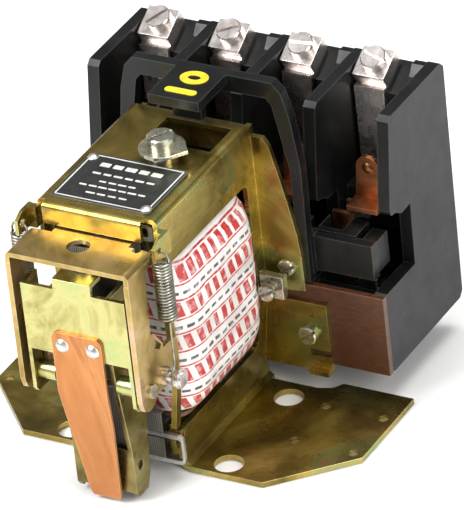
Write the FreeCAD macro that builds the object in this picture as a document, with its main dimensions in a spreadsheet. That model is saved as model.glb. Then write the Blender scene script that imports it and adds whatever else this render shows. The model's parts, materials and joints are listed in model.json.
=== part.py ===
import FreeCAD, Part
import os
import math
import Sketcher

# Magnetic motor starter: open clapper contactor with a folded frame and a four pole contact block.
# Axes: X right along the poles, Y back, Z up from the mounting face of the wings. Lengths in millimetres.
# Depths are drawn from the rear flange of the frame; the last step moves the whole assembly so that the
# origin is the middle of the four large base holes.

doc = FreeCAD.newDocument("motor_starter")
V = FreeCAD.Vector

SIZES = [
    # folded frame
    ("SheetThick", 1.8, "frame sheet"),
    ("WingThick", 2.0, "base wing sheet"),
    ("WallOut", 20.4, "outer half width of the side walls"),
    ("WallTop", 99.7, "top of the side walls"),
    ("WingOut", 69.0, "half width over the base wings"),
    ("WingFront", 58.6, "front edge of the wings, forward of the rear flange"),
    ("WingBack", 2.6, "back edge of the wings"),
    ("HoleX", 29.5, "half spacing of the large base holes"),
    ("HoleFront", 52.5, "front pair of large base holes"),
    ("HoleRear", 11.0, "rear pair of large base holes"),
    ("HoleRad", 5.0, "radius of the large base holes"),
    ("TapX", 43.5, "inner column of tapped holes"),
    ("TapPitch", 21.5, "pitch of the tapped holes both ways"),
    ("TapRad", 1.7, "radius of the tapped holes"),
    ("ChanOut", 22.0, "outer half width of the top channel"),
    ("ChanThick", 1.6, "top channel sheet"),
    ("ChanTop", 102.0, "top of the channel"),
    ("ChanLow", 87.5, "lower edge of the channel sides"),
    ("ChanFront", 70.0, "front of the channel"),
    ("ChanBack", 5.0, "rear end of the channel"),
    # contact block
    ("Pitch", 27.0, "pole pitch"),
    ("WallB", 4.4, "barrier thickness"),
    ("BlockX", 6.6, "middle of the contact block"),
    ("BlockTop", 101.6, "top of the barriers"),
    ("BlockLow", 11.4, "underside of the contact block"),
    ("BlockBack", 53.3, "rear of the contact block"),
    ("PlateThick", 2.2, "insulating plate"),
    ("StripWide", 11.0, "conductor strip width"),
    ("StripThick", 1.6, "conductor strip thickness"),
    ("TermTilt", 28.0, "tilt of the terminals in degrees"),
    ("ScrewRad", 4.4, "terminal screw head radius"),
    ("Travel", 6.0, "travel of the contact carrier"),
    # magnet
    ("StackHalf", 12.6, "half thickness of the laminated core"),
    ("PoleFace", 63.3, "pole faces, forward of the rear flange"),
    ("CoilHalf", 24.0, "half width of the wrapped coil"),
    ("CoilLow", 21.0, "bottom of the wrapped coil"),
    ("CoilTop", 80.6, "top of the wrapped coil"),
    ("TapeThick", 0.5, "coil wrapping"),
    # armature
    ("ArmOut", 22.6, "outer half width of the armature bracket"),
    ("HingeY", -71.0, "hinge line of the armature"),
    ("HingeZ", 94.1, "hinge line height"),
    ("Swing", 5.0, "armature swing in degrees"),
    ("RodRad", 2.2, "cross rod radius"),
    ("RodY", -82.6, "cross rod line"),
    ("RodZ", 47.4, "cross rod height"),
    ("PinY", -73.4, "spring pin line"),
    ("PinZ", 47.8, "spring pin height"),
    ("SpringX", 26.0, "spring axis"),
    ("CoilRad", 2.8, "return spring mean radius"),
    ("WireRad", 0.42, "return spring wire radius"),
    # carrier
    ("CarX", 3.2, "middle of the contact carrier"),
    ("CarTop", 116.5, "top of the indicator"),
]
P = {}
sheet = doc.addObject("Spreadsheet::Sheet", "Params")
for row, (alias, value, note) in enumerate(SIZES, start=1):
    sheet.set("A%d" % row, alias)
    sheet.set("B%d" % row, str(value))
    sheet.set("C%d" % row, note)
    sheet.setAlias("B%d" % row, alias)
    P[alias] = value
doc.recompute()

NODES = []


def bind(obj, prop, value):
    """Set a size: text is an expression on the spreadsheet, a number is used as it is."""
    if isinstance(value, str):
        for alias in sorted(P, key=len, reverse=True):
            value = value.replace("@" + alias, "Params." + alias)
        obj.setExpression(prop, value)
    else:
        setattr(obj, prop, value)


def move(obj, x=0.0, y=0.0, z=0.0, axis=None, angle=0.0):
    rot = FreeCAD.Rotation(axis or V(0, 0, 1), angle)
    obj.Placement = FreeCAD.Placement(V(x, y, z), rot)
    return obj


def box(name, size, at):
    """Part::Box with its near low left corner at a point."""
    obj = doc.addObject("Part::Box", name)
    for prop, value in zip(("Length", "Width", "Height"), size):
        bind(obj, prop, value)
    return move(obj, *at)


ALONG = {"x": (V(0, 1, 0), 90), "y": (V(1, 0, 0), -90), "z": (None, 0), "-y": (V(1, 0, 0), 90)}


def rod(name, rad, length, at, along="z"):
    """Part::Cylinder starting at a point and running along one axis."""
    obj = doc.addObject("Part::Cylinder", name)
    bind(obj, "Radius", rad)
    bind(obj, "Height", length)
    axis, angle = ALONG[along]
    return move(obj, *at, axis=axis, angle=angle)


PLANES = {"XY": "XY_Plane", "XZ": "XZ_Plane", "YZ": "YZ_Plane"}


def outline(sketch, pts):
    """Closed polygon with its corners joined and pinned to their given places."""
    first = sketch.GeometryCount
    count = len(pts)
    for i in range(count):
        a, b = pts[i], pts[(i + 1) % count]
        sketch.addGeometry(Part.LineSegment(V(a[0], a[1], 0), V(b[0], b[1], 0)), False)
    for i in range(count):
        sketch.addConstraint(Sketcher.Constraint("Coincident", first + i, 2, first + (i + 1) % count, 1))


def prism(name, plane, pts, length, at=0.0, holes=(), windows=()):
    """PartDesign body: a sketch on an origin plane padded along the plane's normal from a level.

    XY pads up from z = at, YZ pads along x from x = at, XZ pads toward the front from y = -at.
    """
    body = doc.addObject("PartDesign::Body", name)
    base = [f for f in body.Origin.OriginFeatures if f.Role == PLANES[plane]][0]
    sketch = body.newObject("Sketcher::SketchObject", name + "_outline")
    sketch.AttachmentSupport = [(base, "")]
    sketch.MapMode = "FlatFace"
    outline(sketch, pts)
    for window in windows:
        outline(sketch, window)
    for cx, cy, rad in holes:
        index = sketch.addGeometry(Part.Circle(V(cx, cy, 0), V(0, 0, 1), 1.0), False)
        number = sketch.addConstraint(Sketcher.Constraint("Radius", index, 1.0))
        if isinstance(rad, str):
            sketch.setExpression("Constraints[%d]" % number, "Params." + rad.replace("@", ""))
        else:
            sketch.setDatum(number, FreeCAD.Units.Quantity("%f mm" % rad))
    pad = body.newObject("PartDesign::Pad", name + "_pad")
    pad.Profile = sketch
    bind(pad, "Length", length)
    body.Tip = pad
    shift = {"XY": V(0, 0, at), "YZ": V(at, 0, 0), "XZ": V(0, -at, 0)}[plane]
    body.Placement = FreeCAD.Placement(shift, FreeCAD.Rotation())
    sketch.Visibility = False
    return body


def fuse(name, parts):
    obj = doc.addObject("Part::MultiFuse", name)
    obj.Shapes = parts
    obj.Refine = True
    return obj


def cut(name, base, tools):
    tool = tools[0] if len(tools) == 1 else fuse(name + "_tools", tools)
    obj = doc.addObject("Part::Cut", name)
    obj.Base, obj.Tool = base, tool
    obj.Refine = True
    return obj


def mirrored(name, source):
    """Copy of an object across the middle plane of the magnet."""
    obj = doc.addObject("Part::Mirroring", name)
    obj.Source = source
    obj.Base = V(0, 0, 0)
    obj.Normal = V(1, 0, 0)
    return obj


def shaped(name, shape, place=None):
    obj = doc.addObject("Part::Feature", name)
    obj.Shape = shape
    obj.Placement = place or FreeCAD.Placement()
    return obj


def node(label, parts):
    """One sub-part: a single object, or several separate solids kept as a group."""
    if len(parts) == 1:
        obj = parts[0]
    else:
        obj = doc.addObject("Part::Compound", label + "_group")
        obj.Links = parts
    obj.Label = label
    NODES.append(obj)
    return obj


def arc_points(cx, cy, rad, start, end, count=6):
    step = (end - start) / float(count)
    angles = [math.radians(start + step * i) for i in range(count + 1)]
    return [(cx + rad * math.cos(a), cy + rad * math.sin(a)) for a in angles]


def rounded(x0, y0, x1, y1, rad, count=5):
    return (arc_points(x1 - rad, y0 + rad, rad, -90, 0, count) + arc_points(x1 - rad, y1 - rad, rad, 0, 90, count)
            + arc_points(x0 + rad, y1 - rad, rad, 90, 180, count)
            + arc_points(x0 + rad, y0 + rad, rad, 180, 270, count))


HEADINGS = {"x": V(1, 0, 0), "-x": V(-1, 0, 0), "y": V(0, 1, 0), "-y": V(0, -1, 0), "z": V(0, 0, 1)}


def heading(along):
    return HEADINGS[along] if isinstance(along, str) else along


def slotted(name, rad, head, at, along, turn=0.0, shank_rad=1.95, shank=8.0):
    """Cheese head screw: head outward, slot across it, shank inward."""
    body = Part.makeCylinder(rad, head, V(0, 0, 0)).fuse(Part.makeCylinder(shank_rad, shank, V(0, 0, -shank)))
    top = [e for e in body.Edges if abs(e.BoundBox.ZMin - head) < 1e-6 and abs(e.BoundBox.ZMax - head) < 1e-6]
    body = body.makeChamfer(0.45, top)
    slot = Part.makeBox(2.2 * rad, 1.2, 1.4, V(-1.1 * rad, -0.6, head - 1.3))
    slot.rotate(V(0, 0, 0), V(0, 0, 1), turn)
    body = body.cut(slot)
    return shaped(name, body, FreeCAD.Placement(V(*at), FreeCAD.Rotation(V(0, 0, 1), heading(along))))


def domed(name, rad, high, shank_rad, shank, at, along):
    """Rivet with a rounded head outward and a shank inward."""
    ball = (rad * rad + high * high) / (2.0 * high)
    cap = Part.makeSphere(ball, V(0, 0, high - ball)).common(Part.makeCylinder(rad + 1, high, V(0, 0, 0)))
    body = cap.fuse(Part.makeCylinder(shank_rad, shank, V(0, 0, -shank))).removeSplitter()
    return shaped(name, body, FreeCAD.Placement(V(*at), FreeCAD.Rotation(V(0, 0, 1), heading(along))))


# ---------------------------------------------------------------- folded side frame with base wings
T = P["SheetThick"]
WO = P["WallOut"]
FLANGE_BACK = -0.4          # rear face of the rear flanges
FLANGE_FRONT = FLANGE_BACK - T
WALL_FRONT = -64.0
wall_profile = [(WO - T, P["WallTop"]), (WO, P["WallTop"]), (WO, 37.0), (16.4, 6.4), (16.7, 3.4), (18.4, 2.0),
                (18.4, 0.0), (15.6, 0.2), (14.4, 1.8), (14.3, 5.0), (WO - T, 37.0)]
window = rounded(WALL_FRONT + 3.0, 17.0, -7.6, 81.0, 3.0)
wing_pts = [(17.2, -P["WingFront"]), (45.0, -P["WingFront"]), (P["WingOut"], -34.4), (P["WingOut"], P["WingBack"]),
            (43.0, P["WingBack"]), (40.6, -0.9), (35.8, -2.6), (32.6, -2.6), (17.2, -2.6)]
wing_holes = [(P["HoleX"], -P["HoleFront"], "@HoleRad"), (P["HoleX"], -P["HoleRear"], "@HoleRad")]
wing_holes += [(P["TapX"] + i * P["TapPitch"], -33.0 + j * P["TapPitch"], "@TapRad") for i in (0, 1) for j in (0, 1)]
upper_flange = [(WO - 0.4, 96.0), (24.6, 96.0), (26.6, 93.0), (29.4, 82.0), (31.6, 72.0), (33.8, 61.0), (34.7, 52.0),
                (34.9, 39.4), (26.0, 38.6), (WO - 0.4, 38.6)]
lower_tab = [(WO - 0.9, 35.0), (42.0, 35.0), (42.0, 17.2), (34.4, 17.2), (34.4, 14.6), (42.0, 14.6), (42.0, 8.6),
             (16.6, 8.6), (17.4, 14.6)]
wall = prism("wall_r", "XZ", wall_profile, -WALL_FRONT + FLANGE_BACK, -FLANGE_BACK)
opening = prism("wall_window", "YZ", window, 12.0, 11.0)
notch = box("wall_front_notch", (12, 8, 21), (10, -66, -1))
tab_slot = box("wall_tab_slot", (12, 2.4, 7.4), (10, -7.1, 39.9))
wall_cut = cut("wall_cut", wall, [opening, notch, tab_slot])
wing = prism("wing_r", "XY", wing_pts, "@WingThick", 0.0, wing_holes)
flange = prism("flange_r", "XZ", upper_flange, "@SheetThick", -FLANGE_BACK, [(29.1, 47.9, 2.1)])
tab = prism("tab_r", "XZ", lower_tab, "@SheetThick", -FLANGE_BACK, [(34.7, 23.0, 2.1)])
lug = box("lug_r", (7.4, 4.4, "@SheetThick"), (34.5, FLANGE_FRONT - 2.6, 8.6))
half = fuse("frame_half_r", [wall_cut, wing, flange, tab, lug])
left = mirrored("frame_half_l", half)
# rear cross strap ties the two walls together behind the coil
strap = box("rear_strap", (2 * (WO - 0.2), "@SheetThick", 8.0), (-(WO - 0.2), FLANGE_FRONT, 88.0))
node("side_frame", [fuse("side_frame_body", [half, left, strap])])

# ---------------------------------------------------------------- top channel with front lip and spring ears
CT, CF, CB, CO = P["ChanThick"], P["ChanFront"], P["ChanBack"], P["ChanOut"]
ZT, ZL = P["ChanTop"], P["ChanLow"]
corner = arc_points(CO - 2.2, ZT - 2.2, 2.2, 0, 90, 5)
inner = arc_points(CO - 2.2, ZT - 2.2, 2.2 - CT, 90, 0, 4)
chan_profile = ([(CO - CT, ZL), (CO, ZL)] + corner + [(-x, z) for x, z in reversed(corner)]
                + [(-CO, ZL), (-CO + CT, ZL)] + [(-x, z) for x, z in reversed(inner)] + inner)
channel = prism("channel_fold", "XZ", chan_profile, CF - CB - 3.0, CB)
brow = prism("channel_brow", "YZ", [(-CF + 3.2, ZT), (-CF + 1.6, ZT)] + arc_points(-CF + 1.9, ZT - 1.9, 1.9, 90, 180)
             + [(-CF, 94.7), (-CF + CT, 94.7), (-CF + CT, ZT - 2.2), (-CF + CT + 0.7, ZT - CT), (-CF + 3.2, ZT - CT)],
             36.0, -18.6)
ears = []
for side in (1, -1):
    tag = "r" if side > 0 else "l"
    plate = prism("ear_" + tag, "YZ", [(-75.8, 92.0), (-66.0, 91.2), (-66.0, 99.0), (-72.0, 99.0), (-75.8, 97.0)],
                  1.2, 24.6 if side > 0 else -25.8, [(-73.0, 95.1, 1.35)])
    foot = box("ear_foot_" + tag, (3.4, 3.0, 7.4), (21.8 if side > 0 else -25.2, -69.0, 91.4))
    ears += [plate, foot]
top = fuse("channel_body", [channel, brow] + ears)
screw_hole = rod("channel_screw_hole", 2.3, 6.0, (5.5, -32.5, 98.0))
NAME_RIVETS = [(-16.0, -40.2), (16.0, -62.6)]
rivet_ways = [rod("channel_rivet_hole_%d" % i, 1.0, 6.0, (x, y, 98.0)) for i, (x, y) in enumerate(NAME_RIVETS)]
lead_hole = box("channel_slot", (24.0, 15.0, 6.0), (-6.0, -24.0, 98.0))
node("top_channel", [cut("top_channel_body", top, [screw_hole, lead_hole] + rivet_ways)])

# ---------------------------------------------------------------- nameplate, its rivets and the top screw
plate_pts = rounded(-18.0, -65.2, 18.0, -37.8, 1.2, 3)
node("nameplate", [prism("nameplate_body", "XY", plate_pts, 0.8, ZT, [(x, y, 1.0) for x, y in NAME_RIVETS])])
node("nameplate_rivets", [domed("name_rivet_%d" % i, 1.9, 0.9, 0.95, 1.4, (x, y, ZT + 0.8), "z")
                          for i, (x, y) in enumerate(NAME_RIVETS)])
SX, SY = 5.5, -32.5
node("top_spacer", [cut("top_spacer_body", rod("spacer_out", 5.0, 3.6, (SX, SY, ZT)),
                        [rod("spacer_in", 2.3, 6.0, (SX, SY, ZT - 1))])])
washer_pts = arc_points(SX, SY, 7.8, 25, 335, 22) + [(SX + 9.6, SY)]
node("top_washer", [prism("top_washer_body", "XY", washer_pts, 1.2, ZT + 3.6, [(SX, SY, 2.3)])])
node("top_screw", [slotted("top_screw_body", 4.7, 4.2, (SX, SY, ZT + 4.8), "z", 60.0, 1.95, 6.8)])

# ---------------------------------------------------------------- insulating plate behind the frame
BX, PITCH, WB = P["BlockX"], P["Pitch"], P["WallB"]
XL = BX - 2 * PITCH - WB / 2
XR = BX + 2 * PITCH + WB / 2
BARRIERS = [XL + i * PITCH for i in range(5)]
BAYS = [x + WB for x in BARRIERS[:4]]
BAY = PITCH - WB
insul = [(XL, 41.0), (XL, 10.4), (XR - 32.0, 9.8), (XR - 24.4, 9.8), (XR - 24.4, 11.2), (XR, 11.2), (XR, 41.0)]
tab_holes = [(x, z, 2.1) for x, z in ((34.7, 23.0), (-34.7, 23.0))]
node("insulating_plate", [prism("insulating_plate_body", "XZ", insul, "@PlateThick", -(FLANGE_BACK + P["PlateThick"]),
                                tab_holes)])
FRONT = FLANGE_BACK + P["PlateThick"]

TILT = FreeCAD.Rotation(V(1, 0, 0), P["TermTilt"])
SW, ST = P["StripWide"], P["StripThick"]
SEAT_Y, SEAT_Z = 41.0, 93.4


def tilted(solid, x, along, up):
    """Place a shape built flat (Y up the slope, Z off the slope) onto the sloping seat."""
    lift = TILT.multVec(V(0, along, up))
    solid.Placement = FreeCAD.Placement(V(x, SEAT_Y, SEAT_Z) + lift, TILT)
    return solid


# ---------------------------------------------------------------- moulded contact block
barrier = [(FRONT, 12.0), (FRONT, 40.4), (FRONT + 1.0, 41.2), (22.6, 41.2), (23.2, 64.4), (17.0, 64.2), (13.0, 66.6),
           (10.4, 67.0), (9.6, 68.4), (14.2, 100.0), (16.0, 101.6), (51.3, 101.6), (53.3, 99.6), (52.2, 13.4),
           (50.2, 11.4), (FRONT + 1.0, 11.4)]
block_parts = [prism("barrier_%d" % i, "YZ", barrier, "@WallB", x) for i, x in enumerate(BARRIERS)]
SPAN = XR - XL - 2.0
tilt = math.tan(math.radians(P["TermTilt"]))
seat_top = [(41.0, 93.4), (52.6, 93.4 + 11.6 * tilt)]
seat = [(41.0, 84.0)] + seat_top + [(52.6, 84.0)]
slabs = [
    ("front_wall", [(FRONT, 12.4), (FRONT + 4.4, 12.4), (FRONT + 4.4, 39.4), (FRONT, 39.4)]),
    ("floor", [(FRONT, 11.4), (51.0, 11.4), (51.0, 15.4), (FRONT, 15.4)]),
    ("back_wall", [(43.0, 30.0), (47.6, 30.0), (47.6, 85.0), (43.0, 85.0)]),
    ("middle_shelf", [(33.0, 46.6), (44.0, 46.6), (44.0, 51.4), (33.0, 51.4)]),
    ("upper_shelf", [(29.0, 58.6), (44.0, 58.6), (44.0, 62.0), (30.0, 62.0)]),
    ("lower_shelf", [(29.0, 30.0), (44.0, 30.0), (44.0, 34.0), (29.0, 34.0)]),
    ("seat", seat),
]
block_parts += [prism("block_" + name, "YZ", pts, SPAN, XL + 1.0) for name, pts in slabs]
for i, x in enumerate(BARRIERS[1:], start=1):
    block_parts.append(prism("gusset_%d" % i, "YZ", [(41.0, 88.0), (52.6, 88.0), (52.6, 100.4), (50.0, 100.4)],
                             6.4, x - 5.4))
block_raw = fuse("block_raw", block_parts)
block_holes = []
for i, x in enumerate(BAYS):
    block_holes.append(box("way_up_%d" % i, (12.0, 2.6, 64.3), (x + 0.6, 38.4, 58.2)))
    hole = tilted(rod("term_way_%d" % i, 2.1, 9.0, (0, 0, 0)), x + 6.6, 7.4, -5.0)
    block_holes.append(hole)
for side in (1, -1):
    block_holes.append(rod("tab_way_%s" % ("r" if side > 0 else "l"), 2.1, 9.0, (34.7 * side, FRONT - 1, 23.0), "y"))
node("contact_block", [cut("contact_block_body", block_raw, block_holes)])

# screws holding the frame tabs, plate and block together, and the earthing screws on the curved flanges
node("tab_screws", [slotted("tab_screw_%d" % i, 3.4, 2.4, (34.7 * s, FLANGE_FRONT, 23.0), "-y", 35.0 * s, 1.95, 8.4)
                    for i, s in enumerate((1, -1))])
EX, EZ = 29.1, 47.9
node("earth_screw", [slotted("earth_screw_body", 3.0, 2.0, (EX, FLANGE_FRONT, EZ), "-y", 20.0, 1.9, 4.2)])
hexagon = arc_points(EX, EZ, 3.1, 0, 300, 5)
node("earth_nut", [prism("earth_nut_body", "XZ", hexagon, 1.9, -1.6, [(EX, EZ, 1.98)])])

# ---------------------------------------------------------------- terminals, conductors and fixed contacts
line_strips, line_clamps, line_screws, line_tips = [], [], [], []
load_strips, load_clamps, load_screws, load_tips = [], [], [], []
horns, horn_rivets = [], []
for i, x in enumerate(BAYS):
    sx = x + 0.8
    mid = x + 6.6
    strip = tilted(box("line_slope_%d" % i, ("@StripWide", 12.4, "@StripThick"), (0, 0, 0)), sx, 0.3, 0.02)
    drop = prism("line_drop_%d" % i, "XZ", [(sx, 95.2), (sx, 55.0), (sx + SW - 3.0, 55.0), (sx + SW, 92.0),
                                            (sx + SW, 95.2)], "@StripThick", -(40.2 + 0.6))
    reach = box("line_reach_%d" % i, (8.0, 14.6, "@StripThick"), (sx, 26.6, 55.0))
    face = box("line_face_%d" % i, (8.0, "@StripThick", 5.6), (sx, 26.6, 52.6))
    whole = fuse("line_strip_%d" % i, [strip, drop, reach, face])
    drill = tilted(rod("line_drill_%d" % i, 2.1, 8.0, (0, 0, 0)), mid, 7.4, -3.0)
    line_strips.append(cut("line_strip_cut_%d" % i, whole, [drill]))
    clamp = tilted(box("line_clamp_%d" % i, (11.8, 11.3, 4.6), (0, 0, 0)), sx - 0.4, 1.1, ST + 0.04)
    drill2 = tilted(rod("line_drill_b_%d" % i, 2.1, 9.0, (0, 0, 0)), mid, 7.4, 0.5)
    line_clamps.append(cut("line_clamp_cut_%d" % i, clamp, [drill2]))
    up = TILT.multVec(V(0, 0, 1))
    seat_at = V(mid, SEAT_Y, SEAT_Z) + TILT.multVec(V(0, 7.4, ST + 4.68))
    line_screws.append(slotted("line_screw_%d" % i, P["ScrewRad"], 3.0, tuple(seat_at), up, 50.0 - 22.0 * i, 1.95, 9.0))
    line_tips.append(rod("line_tip_%d" % i, 2.6, 1.2, (sx + 4.0, 25.4, 55.4), "y"))

    lower = box("load_face_%d" % i, (8.0, "@StripThick", 5.6), (sx, 26.6, 35.0))
    run = box("load_run_%d" % i, (8.0, 2.2, "@StripThick"), (sx, 26.6, 34.9))
    fall = box("load_fall_%d" % i, (8.0, "@StripThick", 12.0), (sx, 26.6, 23.0))
    shelf = box("load_shelf_%d" % i, (11.0, 25.0, "@StripThick"), (sx, 26.6, 21.6))
    whole = fuse("load_strip_%d" % i, [lower, run, fall, shelf])
    load_strips.append(cut("load_strip_cut_%d" % i, whole, [rod("load_drill_%d" % i, 2.1, 6.0, (mid, 47.2, 19.6))]))
    clamp = box("load_clamp_%d" % i, (11.8, 9.6, 3.4), (sx - 0.4, 42.4, 23.24))
    load_clamps.append(cut("load_clamp_cut_%d" % i, clamp, [rod("load_drill_b_%d" % i, 2.1, 6.0, (mid, 47.2, 22.6))]))
    load_screws.append(slotted("load_screw_%d" % i, 3.6, 2.6, (mid, 47.2, 26.66), "z", 20.0 + 25 * i, 1.95, 8.0))
    load_tips.append(rod("load_tip_%d" % i, 2.6, 1.2, (sx + 4.0, 25.4, 37.8), "y"))

    cx = x + BAY / 2.0 + 1.4
    horn = [(cx - 5.6, 62.2)] + [(cx - 4.6, 74.0)] + arc_points(cx - 0.2, 75.0, 4.4, 170, 10, 8) + [(cx + 4.4, 74.0),
                                                                                                 (cx + 5.8, 62.2)]
    back = prism("horn_back_%d" % i, "XZ", horn, "@StripThick", -24.2, [(cx - 0.2, 75.0, 1.25)])
    foot = box("horn_foot_%d" % i, (11.4, 9.0, "@StripThick"), (cx - 5.6, 15.6, 62.2))
    tail = box("horn_tail_%d" % i, (8.0, 6.6, "@StripThick"), (cx - 4.0, 23.6, 62.2))
    horns.append(fuse("horn_%d" % i, [back, foot, tail]))
    horn_rivets.append(domed("horn_rivet_%d" % i, 2.0, 0.9, 1.2, 1.6, (cx - 0.2, 22.6, 75.0), "-y"))
node("line_conductors", line_strips)
node("line_terminal_clamps", line_clamps)
node("line_terminal_screws", line_screws)
node("line_fixed_tips", line_tips)
node("load_conductors", load_strips)
node("load_terminal_clamps", load_clamps)
node("load_terminal_screws", load_screws)
node("load_fixed_tips", load_tips)
node("arc_horns", horns)
node("arc_horn_rivets", horn_rivets)

# ---------------------------------------------------------------- laminated core, coil and shading rings
H = P["StackHalf"]
PF = -P["PoleFace"]
core_pts = [(PF, 95.0), (-26.0, 95.0), (-26.0, 7.0), (PF, 7.0), (PF, 14.6), (PF + 2.4, 14.6), (PF + 2.4, 16.8),
            (PF, 16.8), (PF, 24.4), (PF + 2.2, 24.4), (PF + 2.2, 19.6), (-40.0, 19.6), (-40.0, 82.2), (PF, 82.2),
            (PF, 90.4), (PF + 2.4, 90.4), (PF + 2.4, 92.4), (PF, 92.4)]
core_holes = [(y, z, 1.6) for y, z in ((-55.0, 12.0), (-32.0, 12.0), (-55.0, 88.0), (-32.0, 88.0))]
node("core_laminations", [prism("core_body", "YZ", core_pts, 2 * H, -H, core_holes)])
side_pts = [(PF + 3.0, 93.6), (-27.4, 93.6), (-27.4, 8.6), (PF + 3.0, 8.6), (PF + 3.0, 18.4), (-38.6, 18.4),
            (-38.6, 83.4), (PF + 3.0, 83.4)]
node("core_side_plates", [prism("core_side_%d" % i, "YZ", side_pts, 1.2, x,
                                [(y, z, 1.6) for y, z in ((-55.0, 12.0), (-32.0, 12.0), (-55.0, 88.0), (-32.0, 88.0))])
                          for i, x in enumerate((H, -H - 1.2))])
node("core_rivets", [fuse("core_rivet_%d" % i, [rod("core_rivet_shank_%d" % i, 1.55, 2 * H + 2.4, (-H - 1.2, y, z), "x"),
                                                rod("core_rivet_head_a_%d" % i, 2.5, 1.1, (H + 1.2, y, z), "x"),
                                                rod("core_rivet_head_b_%d" % i, 2.5, 1.1, (-H - 2.3, y, z), "x")])
                     for i, (y, z) in enumerate(((-55.0, 12.0), (-32.0, 12.0), (-55.0, 88.0), (-32.0, 88.0)))])
clip_pts = [(H + 1.3, 7.6), (18.2, 7.6), (18.2, 17.4), (H + 1.3, 17.4)]
clips = []
for i, s in enumerate((1, -1)):
    pts = [(s * x, z) for x, z in clip_pts]
    slot = [(s * x, z) for x, z in ((15.6, 11.0), (16.8, 11.0), (16.8, 14.6), (15.6, 14.6))]
    clip = prism("pole_clip_%d" % i, "XZ", pts, 1.4, -PF - 3.4, windows=[slot])
    clips.append(clip)
node("pole_clips", clips)
rings = []
for i, (z0, z1) in enumerate(((5.2, 16.5), (90.6, 97.0))):
    outer = rounded(-19.4, z0, 19.4, z1, 2.0, 4)
    hole = rounded(-18.6, z0 + 1.6, 18.6, z1 - 1.6, 1.0, 3)
    if i:
        outer, hole = rounded(-17.4, z0, 17.4, z1, 1.6, 4), rounded(-15.8, z0 + 1.6, 15.8, z1 - 1.6, 0.8, 3)
    rings.append(prism("shading_ring_%d" % i, "XZ", outer, 1.6, -PF - 1.9, windows=[hole]))
node("shading_rings", rings)

CL, CH = P["CoilLow"], P["CoilTop"]
CX = P["CoilHalf"]
limb = [(-H - 1.35, -40.15), (H + 1.35, -40.15), (H + 1.35, -25.85), (-H - 1.35, -25.85)]
tube = prism("bobbin_tube", "XY", rounded(-15.4, -42.6, 15.4, -23.4, 1.5, 3), 61.6, 20.0, windows=[limb])
flanges = [prism("bobbin_flange_%d" % i, "XY", rounded(-17.8, -58.0, 17.8, -9.0, 5.0, 4), 1.4, z, windows=[limb])
           for i, z in enumerate((19.9, 80.6))]
node("coil_bobbin", [fuse("bobbin", [tube] + flanges)])


def coil_shell(gap, z0, z1):
    """Wrapped coil outline: fuller in the middle of its height than at its two ends."""
    wires = []
    steps = 7
    for k in range(steps + 1):
        t = k / float(steps)
        swell = 1.0 - abs(2.0 * t - 1.0) ** 4.0
        hx = 17.9 + (CX - 17.9) * swell ** 0.6 - gap
        front, rear = -57.4 - 2.4 * swell + gap, -9.6 + 2.4 * swell - gap
        ring = rounded(-hx, front, hx, rear, 8.5 + 2.0 * swell - gap * 0.5, 4)
        pts = [V(px, py, z0 + (z1 - z0) * t) for px, py in ring]
        wires.append(Part.makePolygon(pts + [pts[0]]))
    return Part.makeLoft(wires, True, True)


core_way = Part.makeBox(31.0, 19.4, 80.0, V(-15.5, -42.7, 10.0))
winding = coil_shell(P["TapeThick"] + 0.05, CL + 0.9, CH - 0.9).cut(core_way)
node("coil_winding", [shaped("coil_winding_body", winding)])
wrap = coil_shell(0.0, CL + 0.5, CH - 0.1)
hollow = coil_shell(P["TapeThick"], CL + 0.5 - 0.001, CH - 0.1 + 0.001)
node("coil_tape", [shaped("coil_tape_body", wrap.cut(hollow))])
tabs, tab_bolts, tab_nuts, leads = [], [], [], []
TZ, BOLT_X = 43.6, 26.6
for i, s in enumerate((1, -1)):
    tabs.append(prism("coil_tab_%d" % i, "XY", [(s * 16.0, -6.6), (s * 30.0, -6.6), (s * 30.0, -5.2), (s * 16.0, -5.2)],
                      6.4, TZ - 3.2))
    tab_bolts.append(slotted("coil_bolt_%d" % i, 2.9, 2.0, (s * BOLT_X, -12.4, TZ), "-y", 30.0, 1.5, 9.4))
    square = [(s * BOLT_X - 4.2, TZ - 4.2), (s * BOLT_X + 4.2, TZ - 4.2), (s * BOLT_X + 4.2, TZ + 4.2),
              (s * BOLT_X - 4.2, TZ + 4.2)]
    tab_nuts.append(prism("coil_nut_%d" % i, "XZ", square, 2.8, 6.7, [(s * BOLT_X, TZ, 1.55)]))
tabs = [cut("coil_tab_cut_%d" % i, t, [rod("coil_tab_way_%d" % i, 1.55, 6.0, (BOLT_X * s, -9.0, TZ), "y")])
        for i, (t, s) in enumerate(zip(tabs, (1, -1)))]
node("coil_terminal_tabs", tabs)
node("coil_terminal_bolts", tab_bolts)
node("coil_terminal_nuts", tab_nuts)

# ---------------------------------------------------------------- armature: bracket, plate, bar, rod and leaf
AO = P["ArmOut"]
AT = 1.8
HY, HZ = P["HingeY"], P["HingeZ"]
bow = arc_points(AO - 2.0, 94.0 - 2.0, 2.0, 0, 90, 4)
bow_in = arc_points(AO - 2.0, 94.0 - 2.0, 0.3, 90, 0, 2)
bracket_pts = ([(AO - AT, 40.0), (AO, 40.0)] + bow + [(-x, z) for x, z in reversed(bow)]
               + [(-AO, 40.0), (-AO + AT, 40.0)] + [(-x, z) for x, z in reversed(bow_in)] + bow_in)
bracket = prism("bracket_fold", "XZ", bracket_pts, 15.8, 72.8)
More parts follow.
